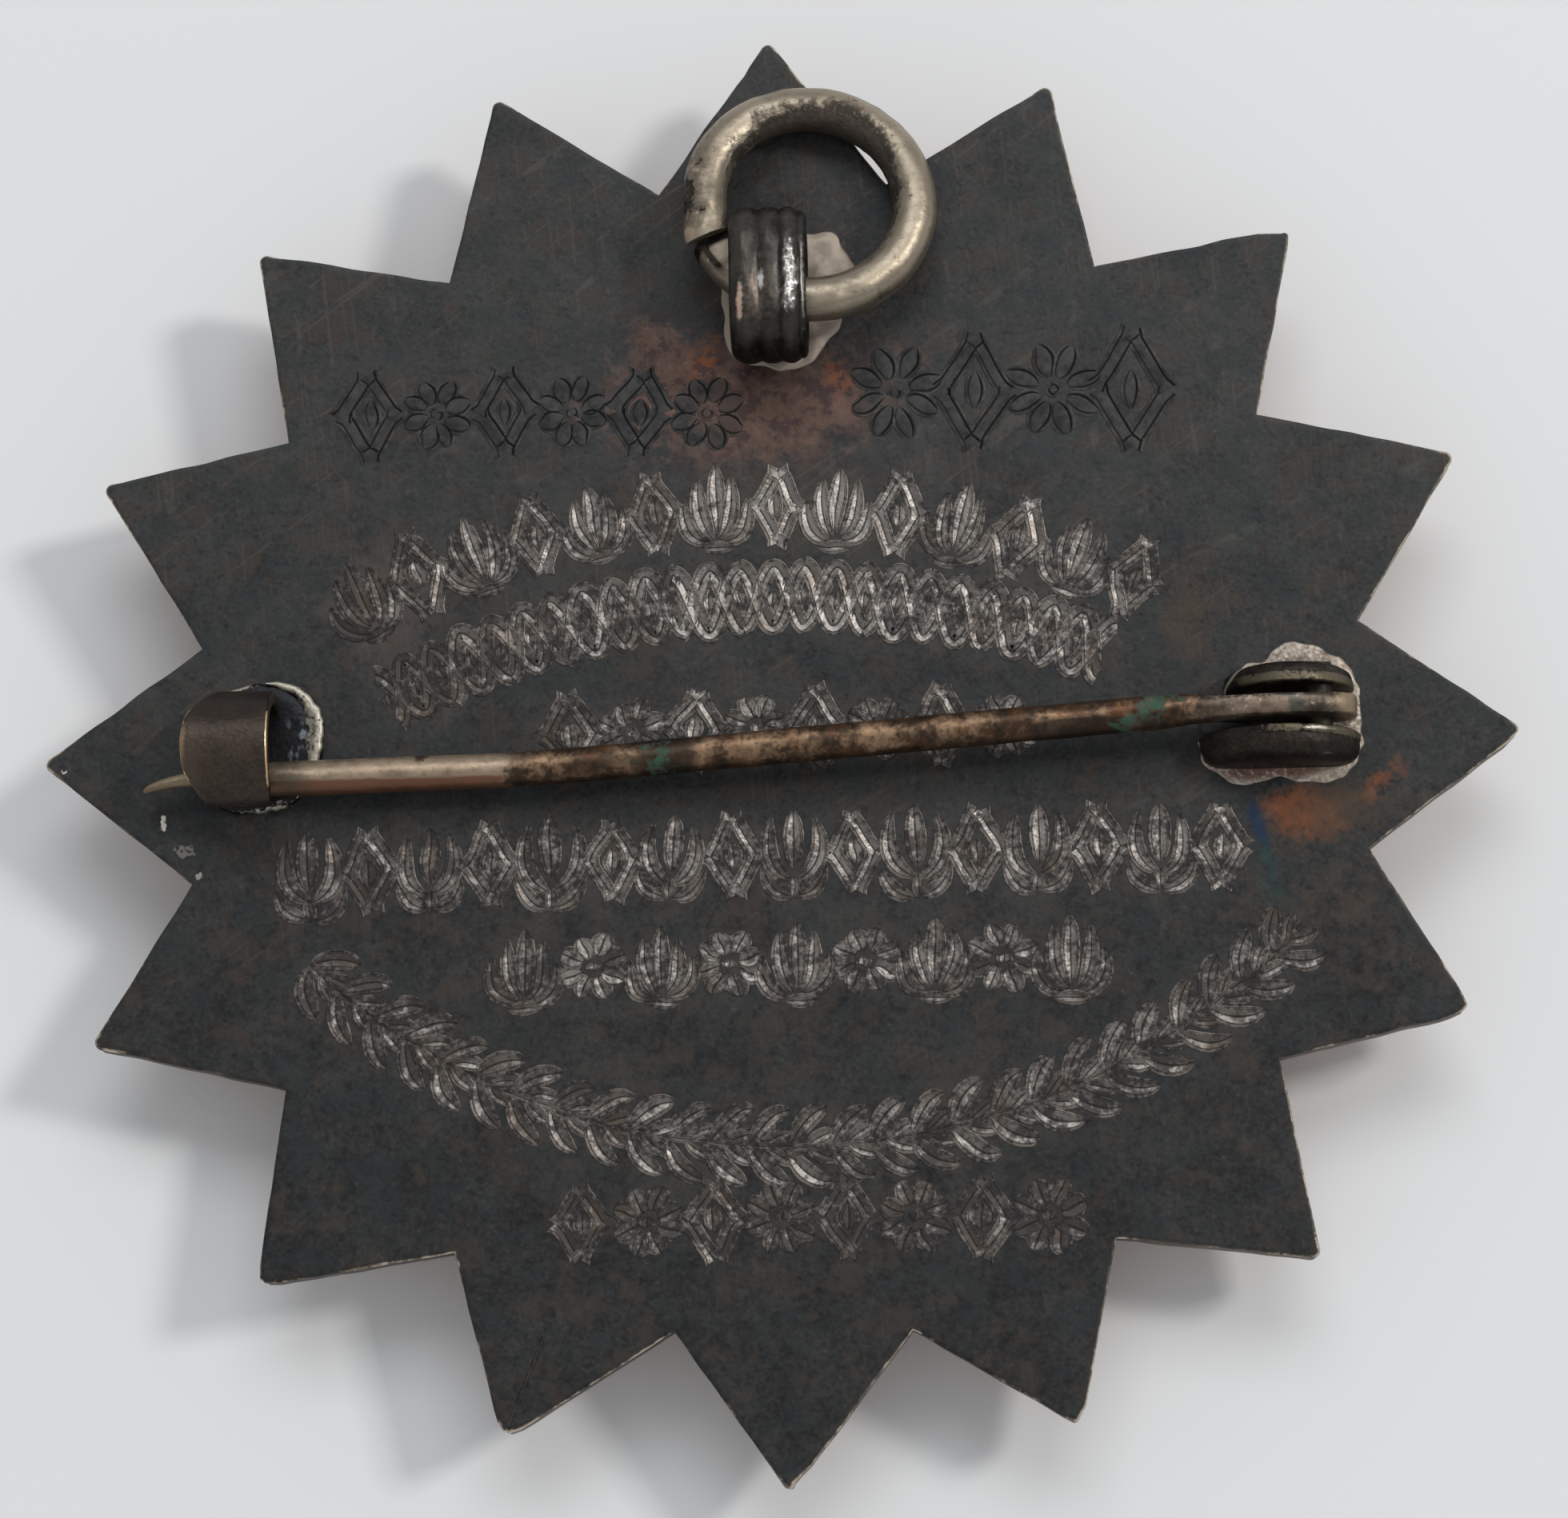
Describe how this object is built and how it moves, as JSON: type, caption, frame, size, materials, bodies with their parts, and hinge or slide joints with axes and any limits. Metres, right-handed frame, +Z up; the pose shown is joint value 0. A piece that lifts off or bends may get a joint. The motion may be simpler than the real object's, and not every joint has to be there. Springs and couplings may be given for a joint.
{
  "type": "fraternal jewel",
  "caption": "Many-pointed star jewel lying face down: plain raised front, engraved back with a reeded bail, an open jump ring, and a brooch pin on a riveted hinge with a hook catch.",
  "frame": {"origin": "middle of the star, on the surface that the jewel lies on", "axes": "+X along the pin towards its hinge, +Y towards the point with the ring, +Z up out of the back"},
  "size_m": [0.0462, 0.0458, 0.0075],
  "materials": {
    "tarnished_silver": "dark grey tarnish with worn bright edges",
    "nickel_silver": "worn champagne-coloured wire",
    "bronze_wire": "mottled brown with a little verdigris"
  },
  "bodies": {
    "star": {"star_plate": "tarnished_silver"},
    "ring": {"jump_ring": "nickel_silver"},
    "rivet": {"hinge_rivet": "bronze_wire"},
    "pin": {"pin_stem": "bronze_wire"}
  },
  "joints": [
    {"name": "ring_swing", "type": "hinge", "parent": "star", "child": "ring", "pos_m": [0.00014, 0.01428, 0.0058], "axis": [0.9272, -0.3746, 0], "range_deg": [0, 156]},
    {"name": "pin_lift", "type": "hinge", "parent": "star", "child": "rivet", "pos_m": [0.01675, 0.00055, 0.0051], "axis": [0, 1, 0], "range_deg": [0, 110]},
    {"name": "pin_side", "type": "hinge", "parent": "rivet", "child": "pin", "pos_m": [0.01675, 0.00055, 0.0051], "axis": [0, 0, 1], "range_deg": [0, 2.4]}
  ]
}
